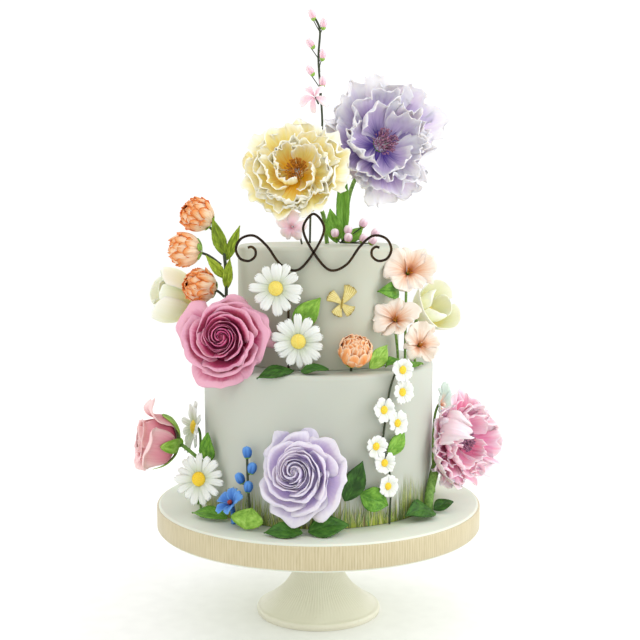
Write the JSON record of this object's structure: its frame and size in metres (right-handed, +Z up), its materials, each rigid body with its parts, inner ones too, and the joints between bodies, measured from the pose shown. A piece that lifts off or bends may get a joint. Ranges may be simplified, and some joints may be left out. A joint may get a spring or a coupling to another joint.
{
  "type": "floral cake",
  "caption": "Two-tier round fondant cake on a ribboned board and pedestal foot, dressed with sugar peonies, roses, daisies, small blossoms, leaves and a scroll topper.",
  "frame": {"origin": "centre of the foot's flat underside", "axes": "+Z up along the tiers' axis, front of the cake faces -Y, +X to the viewer's right"},
  "size_m": [0.3451, 0.305, 0.5658],
  "materials": {
    "fondant": "smooth satin sugar paste",
    "ribbon": "ribbed satin ribbon",
    "glazed_foot": "cream glaze over fine vertical ribs",
    "petal_yellow": "matte sugar petals, cream at the rims",
    "petal_purple": "matte sugar petals, white at the rims",
    "petal_pink": "matte sugar petals, pale at the rims",
    "petal_magenta": "matte sugar petals, deeper inside",
    "petal_lilac": "matte sugar petals, deeper inside",
    "petal_rosebud": "matte sugar petals",
    "petal_peach": "matte sugar petals",
    "petal_white": "matte sugar petals",
    "petal_blue": "matte sugar petals",
    "petal_cream": "matte sugar petals",
    "petal_lily": "matte sugar petals, orange in the throat",
    "petal_pale_pink": "matte sugar petals and buds",
    "leaf_dark": "sugar leaf with pressed veins",
    "leaf_mid": "sugar leaf with pressed veins",
    "leaf_lime": "sugar leaf with pressed veins",
    "topper_mirror": "bright mirror sheet",
    "gilt_wafer": "pale gold wafer paper"
  },
  "bodies": {
    "root": {"stand_foot": "glazed_foot", "cake_board": "fondant", "board_ribbon": "ribbon", "lower_tier": "fondant", "upper_tier": "fondant", "peony_yellow": "petal_yellow", "peony_purple": "petal_purple", "peony_pink": "petal_pink", "rose_magenta": "petal_magenta", "rose_lilac": "petal_lilac", "rosebud_pink": "petal_rosebud", "ranunculus_high": "petal_peach", "ranunculus_middle": "petal_peach", "ranunculus_low": "petal_peach", "ranunculus_front": "petal_peach", "daisy_upper": "petal_white", "daisy_lower": "petal_white", "daisy_board": "petal_white", "daisy_side": "petal_white", "blossom_1": "petal_white", "blossom_2": "petal_white", "blossom_3": "petal_white", "blossom_4": "petal_white", "blossom_5": "petal_white", "blossom_6": "petal_white", "blossom_7": "petal_white", "blossom_vine": "leaf_mid", "blue_buds": "petal_blue", "blue_bloom": "petal_blue", "magnolia_left": "petal_cream", "magnolia_right": "petal_cream", "lily_1": "petal_lily", "lily_2": "petal_lily", "lily_3": "petal_lily", "blossom_back": "petal_white", "bud_spray": "petal_pale_pink", "spray_flower_high": "petal_pale_pink", "spray_flower_low": "petal_pale_pink", "leaf_daisy": "leaf_lime", "leaf_shelf_left": "leaf_dark", "leaf_shelf_right": "leaf_dark", "leaf_ranunculus": "leaf_lime", "leaf_lily_upper": "leaf_mid", "leaf_lily_lower": "leaf_mid", "leaf_lily_small": "leaf_mid", "leaf_vine_upper": "leaf_mid", "leaf_vine_lower": "leaf_dark", "leaf_rose_right": "leaf_dark", "leaf_rose_front_right": "leaf_dark", "leaf_rose_front_left": "leaf_dark", "leaf_blue": "leaf_mid", "leaf_daisy_board": "leaf_mid", "leaf_daisy_side": "leaf_dark", "leaf_peony_left": "leaf_dark", "leaf_peony_right": "leaf_dark", "leaf_top_tall": "leaf_dark", "ranunculus_branch": "leaf_mid", "pink_bud_spray": "petal_pale_pink", "scroll_topper": "topper_mirror", "butterfly": "gilt_wafer"}
  },
  "joints": []
}
